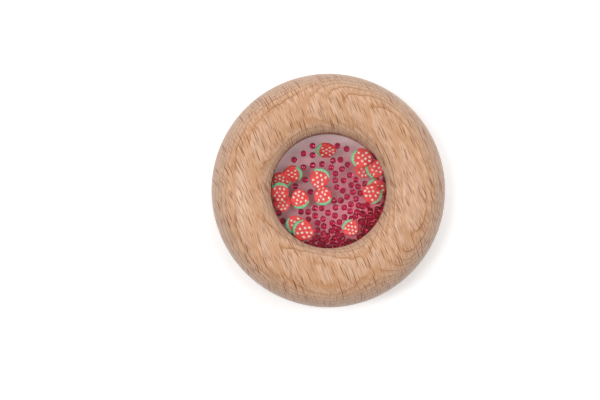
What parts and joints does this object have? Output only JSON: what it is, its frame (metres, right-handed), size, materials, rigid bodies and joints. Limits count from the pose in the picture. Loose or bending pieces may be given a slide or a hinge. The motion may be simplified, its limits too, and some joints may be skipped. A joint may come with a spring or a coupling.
{
  "type": "sensory donut rattle",
  "caption": "Round wooden baby rattle with clear windows on both faces, through which loose beads and fruit slices are seen swirling in a sealed chamber.",
  "frame": {"origin": "centre of the ring on the flat rear crown that it rests on", "axes": "+Z is the ring's axis and points out of the front window, +Y points to the ring's upper edge"},
  "size_m": [0.075, 0.075, 0.025],
  "materials": {
    "beech": "satin",
    "clear_window": "polished",
    "ruby_bead": "polished",
    "strawberry_clay": "satin"
  },
  "bodies": {
    "ring": {"front_ring": "beech", "rear_ring": "beech", "front_window": "clear_window", "rear_window": "clear_window"},
    "bead_bed": {"bead_bed": "ruby_bead"},
    "bead_heap": {"bead_heap": "ruby_bead"},
    "slice_01": {"strawberry_slice_01": "strawberry_clay"},
    "slice_02": {"strawberry_slice_02": "strawberry_clay"},
    "slice_03": {"strawberry_slice_03": "strawberry_clay"},
    "slice_04": {"strawberry_slice_04": "strawberry_clay"},
    "slice_05": {"strawberry_slice_05": "strawberry_clay"},
    "slice_06": {"strawberry_slice_06": "strawberry_clay"},
    "slice_07": {"strawberry_slice_07": "strawberry_clay"},
    "slice_08": {"strawberry_slice_08": "strawberry_clay"},
    "slice_09": {"strawberry_slice_09": "strawberry_clay"},
    "slice_10": {"strawberry_slice_10": "strawberry_clay"},
    "slice_11": {"strawberry_slice_11": "strawberry_clay"},
    "slice_12": {"strawberry_slice_12": "strawberry_clay"},
    "slice_13": {"strawberry_slice_13": "strawberry_clay"},
    "slice_14": {"strawberry_slice_14": "strawberry_clay"},
    "slice_15": {"strawberry_slice_15": "strawberry_clay"},
    "slice_16": {"strawberry_slice_16": "strawberry_clay"}
  },
  "joints": [
    {"name": "fill_swirl", "type": "hinge", "parent": "ring", "child": "bead_bed", "pos_m": [0, 0, 0.0125], "axis": [0, 0, 1], "continuous": true},
    {"name": "heap_hop", "type": "slide", "parent": "bead_bed", "child": "bead_heap", "axis": [0, 0, 1], "range_m": [0, 0.0011]},
    {"name": "slice_01_hop", "type": "slide", "parent": "bead_bed", "child": "slice_01", "axis": [0, 0, 1], "range_m": [0, 0.0004]},
    {"name": "slice_02_hop", "type": "slide", "parent": "bead_bed", "child": "slice_02", "axis": [0, 0, 1], "range_m": [0, 0.0005]},
    {"name": "slice_03_hop", "type": "slide", "parent": "bead_bed", "child": "slice_03", "axis": [0, 0, 1], "range_m": [0, 0.0007]},
    {"name": "slice_04_hop", "type": "slide", "parent": "bead_bed", "child": "slice_04", "axis": [0, 0, 1], "range_m": [0, 0.0007]},
    {"name": "slice_05_hop", "type": "slide", "parent": "bead_bed", "child": "slice_05", "axis": [0, 0, 1], "range_m": [0, 0.0019]},
    {"name": "slice_06_hop", "type": "slide", "parent": "bead_bed", "child": "slice_06", "axis": [0, 0, 1], "range_m": [0, 0.0018]},
    {"name": "slice_07_hop", "type": "slide", "parent": "bead_bed", "child": "slice_07", "axis": [0, 0, 1], "range_m": [0, 0.0016]},
    {"name": "slice_08_hop", "type": "slide", "parent": "bead_bed", "child": "slice_08", "axis": [0, 0, 1], "range_m": [0, 0.0045]},
    {"name": "slice_09_hop", "type": "slide", "parent": "slice_01", "child": "slice_09", "axis": [0, 0, 1], "range_m": [0, 0.0004]},
    {"name": "slice_10_hop", "type": "slide", "parent": "slice_02", "child": "slice_10", "axis": [0, 0, 1], "range_m": [0, 0.003]},
    {"name": "slice_11_hop", "type": "slide", "parent": "slice_03", "child": "slice_11", "axis": [0, 0, 1], "range_m": [0, 0.0007]},
    {"name": "slice_12_hop", "type": "slide", "parent": "slice_04", "child": "slice_12", "axis": [0, 0, 1], "range_m": [0, 0.0035]},
    {"name": "slice_13_hop", "type": "slide", "parent": "slice_05", "child": "slice_13", "axis": [0, 0, 1], "range_m": [0, 0.0019]},
    {"name": "slice_14_hop", "type": "slide", "parent": "slice_06", "child": "slice_14", "axis": [0, 0, 1], "range_m": [0, 0.0018]},
    {"name": "slice_15_hop", "type": "slide", "parent": "slice_09", "child": "slice_15", "axis": [0, 0, 1], "range_m": [0, 0.0004]},
    {"name": "slice_16_hop", "type": "slide", "parent": "slice_11", "child": "slice_16", "axis": [0, 0, 1], "range_m": [0, 0.0007]}
  ]
}
